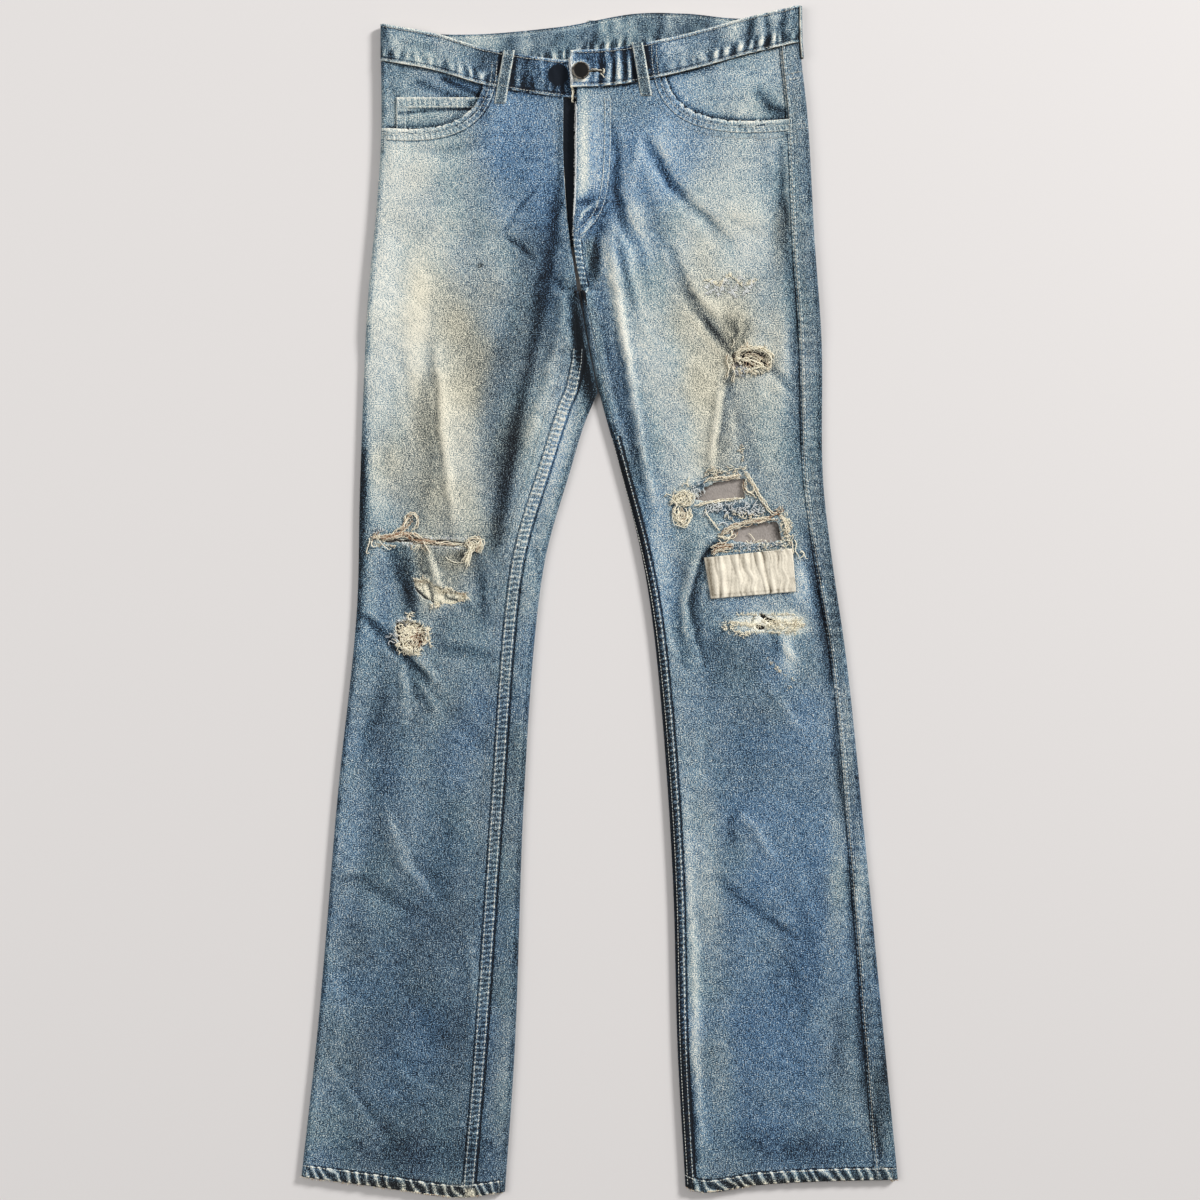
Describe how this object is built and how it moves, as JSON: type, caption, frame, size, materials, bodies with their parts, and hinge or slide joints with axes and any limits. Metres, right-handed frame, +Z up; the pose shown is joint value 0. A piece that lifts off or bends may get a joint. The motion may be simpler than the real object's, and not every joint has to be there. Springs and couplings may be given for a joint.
{
  "type": "ripped denim jeans",
  "caption": "Five-pocket jeans with ripped and patched knees, laid flat on their back, buttoned, legs apart.",
  "frame": {"origin": "bottom centre of the garment's box, on the surface it lies on", "axes": "+Y up the garment towards the waistband, +Z up from the surface with the fly facing +Z, +X towards the wearer's left"},
  "size_m": [0.5799, 1.157, 0.0169],
  "materials": {
    "denim": "washed indigo denim, faded on the thighs",
    "facing_denim": "washed indigo denim, less worn",
    "patch_cloth": "plain beige cotton, puckered",
    "black_metal": "worn black enamel"
  },
  "bodies": {
    "root": {"front_right": "denim", "front_left": "denim", "back_right": "denim", "back_left": "denim", "yoke_right": "denim", "yoke_left": "denim", "waistband": "denim", "pocket_facing_right": "facing_denim", "pocket_facing_left": "facing_denim", "coin_pocket": "facing_denim", "fly_shield": "denim", "back_pocket_right": "denim", "back_pocket_left": "denim", "belt_loop_front_right": "denim", "belt_loop_front_left": "denim", "belt_loop_side_left": "denim", "belt_loop_back_centre": "denim", "belt_loop_back_right": "denim", "button": "black_metal", "knee_patch": "patch_cloth"}
  },
  "joints": []
}
